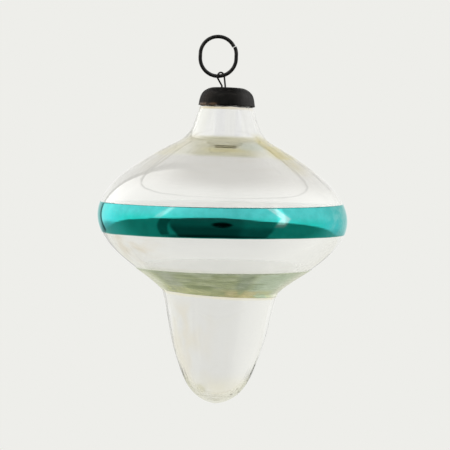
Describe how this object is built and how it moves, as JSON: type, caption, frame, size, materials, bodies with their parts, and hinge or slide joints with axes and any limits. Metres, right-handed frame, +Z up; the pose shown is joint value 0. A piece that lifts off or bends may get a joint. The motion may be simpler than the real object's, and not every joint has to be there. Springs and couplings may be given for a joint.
{
  "type": "hanging glass ornament",
  "caption": "Hollow blown-glass top-shaped ornament with a teal and a green lacquer band, hung by a split ring, wire clip and pull-off cap.",
  "frame": {"origin": "hang point: the inside of the ring's top, where a hook bears", "axes": "+Z up along the glass's own axis, +X to the side where the ring is split, the ring's plane is XZ"},
  "size_m": [0.0702, 0.0702, 0.1037],
  "materials": {
    "clear_glass": "thin, see-through, slightly smoky",
    "teal_lacquer": "mirror-like metallic lacquer",
    "green_lacquer": "thin see-through lacquer",
    "blackened_tin": "dull black, rusty at the lower edge",
    "clip_wire": "blackened wire",
    "ring_wire": "blackened wire"
  },
  "bodies": {
    "ring": {"hanging_ring": "ring_wire"},
    "clip": {"hanger_clip": "clip_wire"},
    "cap": {"cap": "blackened_tin"},
    "bulb": {"glass_bulb": "clear_glass", "teal_band": "teal_lacquer", "green_band": "green_lacquer"}
  },
  "joints": [
    {"name": "ring_swing", "type": "hinge", "parent": "ring", "child": "clip", "pos_m": [0.00096, 0, -0.01054], "axis": [0.9816, 0, 0.1908], "range_deg": [-110, 110]},
    {"name": "clip_swivel", "type": "hinge", "parent": "clip", "child": "cap", "pos_m": [0.0029, 0, -0.0138], "axis": [0, 0, 1], "continuous": true},
    {"name": "bulb_pull", "type": "slide", "parent": "cap", "child": "bulb", "axis": [0, 0, -1], "range_m": [0, 0.012]}
  ]
}
